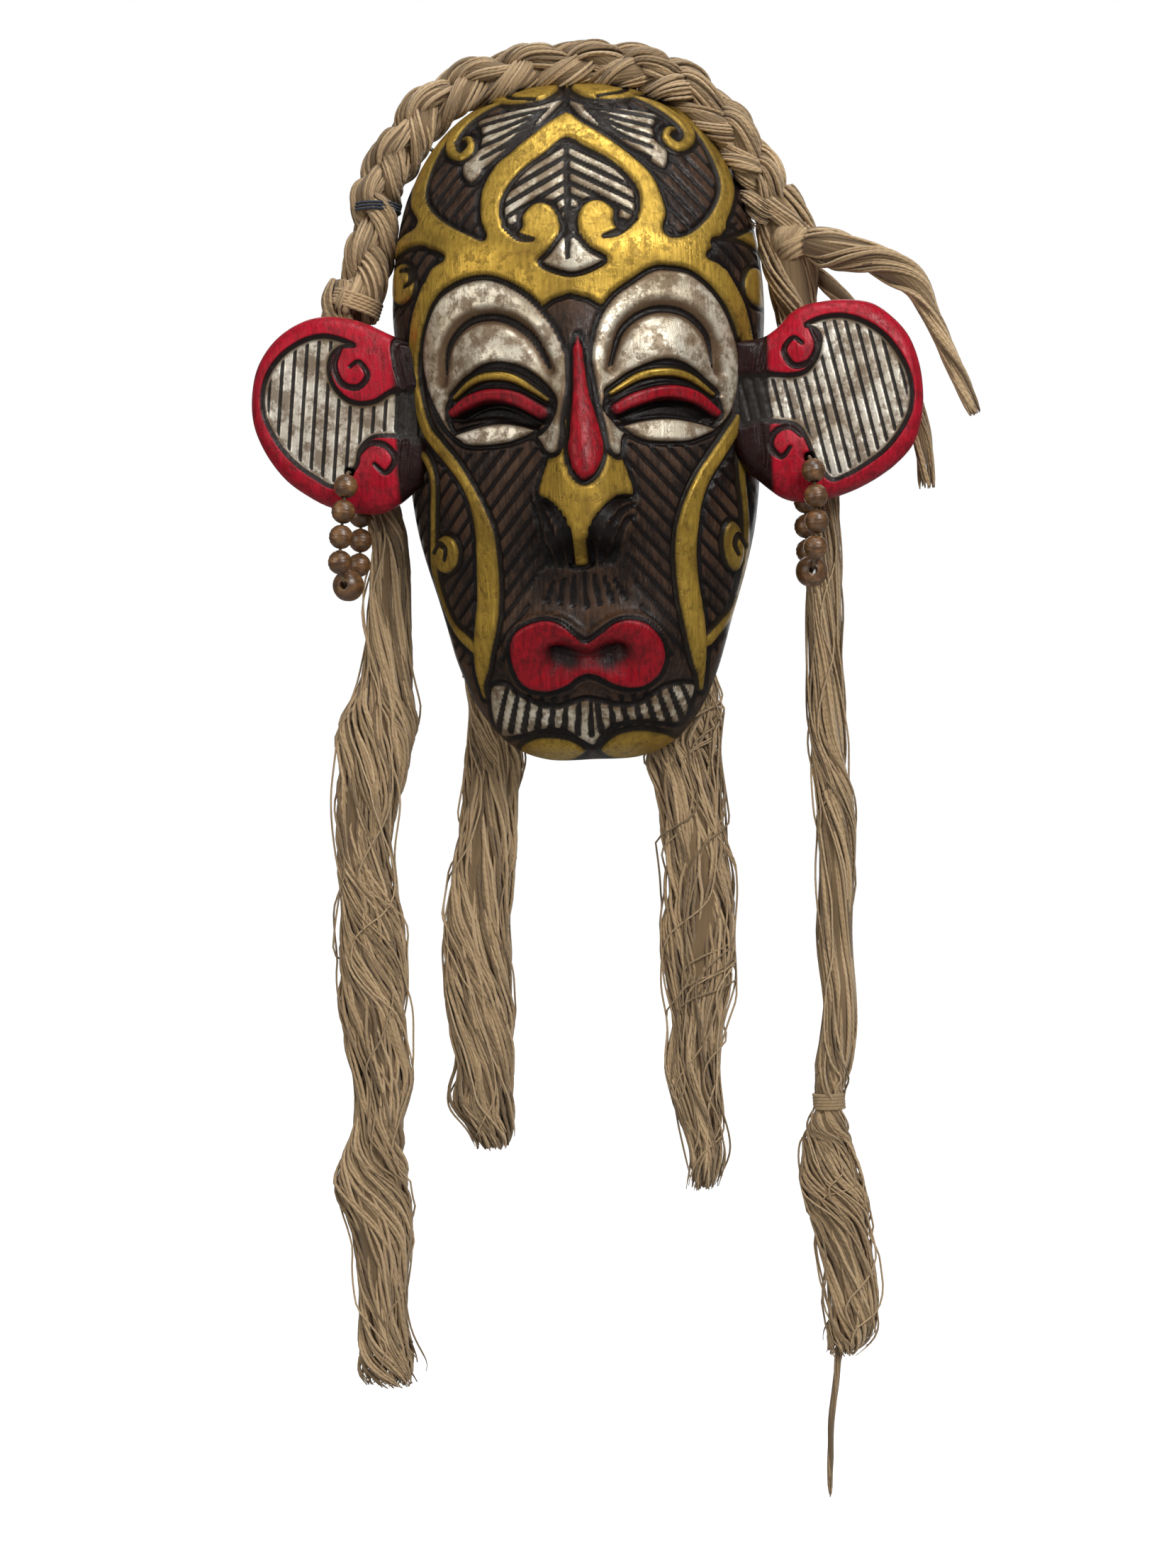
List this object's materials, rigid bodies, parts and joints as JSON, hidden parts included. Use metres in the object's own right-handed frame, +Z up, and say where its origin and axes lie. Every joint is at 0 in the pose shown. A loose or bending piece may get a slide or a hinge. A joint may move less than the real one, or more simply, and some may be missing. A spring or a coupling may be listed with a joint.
{
  "type": "folk art mask",
  "caption": "Hollow carved wooden face mask for a wall, painted in gold, silver and red, with round board ears, a jute plait, hanging jute tresses and swinging bead earrings.",
  "frame": {"origin": "centre of the hanging hole, at the wall side of the hanger plate on the back of the head", "axes": "+Z up, the face looks along -Y, the wall is the plane y = 0, +X is to the right as seen by someone facing the mask"},
  "size_m": [0.32, 0.1029, 0.6599],
  "materials": {
    "painted_wood": "hand painted in aged gold, tarnished silver, lacquer red and dark stain, satin",
    "ear_wood": "lacquer red rim, aged silver panel with dark carved grooves, satin",
    "raw_wood": "unfinished turned softwood",
    "plate_steel": "dull, slightly stained",
    "nail_steel": "dark, dull",
    "jute": "loose two ply jute yarn, matt",
    "jute_twine": "twisted jute twine, matt",
    "dark_thread": "dark blue cotton thread, matt",
    "bead_wood": "turned and waxed brown wood",
    "bead_thread": "brown waxed thread, matt"
  },
  "bodies": {
    "mask": {"mask_shell": "painted_wood", "left_ear": "ear_wood", "right_ear": "ear_wood", "left_ear_dowels": "raw_wood", "right_ear_dowels": "raw_wood", "hanger_plate": "plate_steel", "hanger_nails": "nail_steel", "plait_strand_1": "jute", "plait_strand_2": "jute", "plait_strand_3": "jute", "plait_tacks": "nail_steel", "plait_left_tie": "jute_twine", "plait_thread_tie": "dark_thread", "plait_right_knot": "jute", "tail_front": "jute", "tail_back": "jute", "left_outer_tress": "jute", "left_inner_tress": "jute", "right_inner_tress": "jute", "right_outer_tress": "jute", "right_outer_band": "jute_twine", "right_outer_foot": "jute", "right_end_yarn": "jute", "left_inner_whipping": "jute_twine", "right_inner_whipping": "jute_twine", "tress_nails": "nail_steel"},
    "left_earring": {"left_earring_thread": "bead_thread", "left_bead_1": "bead_wood", "left_bead_2": "bead_wood", "left_bead_3": "bead_wood", "left_bead_4": "bead_wood", "left_bead_5": "bead_wood", "left_bead_6": "bead_wood", "left_bead_7": "bead_wood", "left_drop_bead": "bead_wood"},
    "right_earring": {"right_earring_thread": "bead_thread", "right_bead_1": "bead_wood", "right_bead_2": "bead_wood", "right_bead_3": "bead_wood", "right_bead_4": "bead_wood", "right_bead_5": "bead_wood", "right_bead_6": "bead_wood", "right_bead_7": "bead_wood", "right_drop_bead": "bead_wood"}
  },
  "joints": [
    {"name": "left_earring_swing", "type": "hinge", "parent": "mask", "child": "left_earring", "pos_m": [-0.1015, -0.044, -0.159], "axis": [0, 1, 0], "range_deg": [-30, 30]},
    {"name": "right_earring_swing", "type": "hinge", "parent": "mask", "child": "right_earring", "pos_m": [0.1, -0.044, -0.1615], "axis": [0, 1, 0], "range_deg": [-30, 30]}
  ]
}
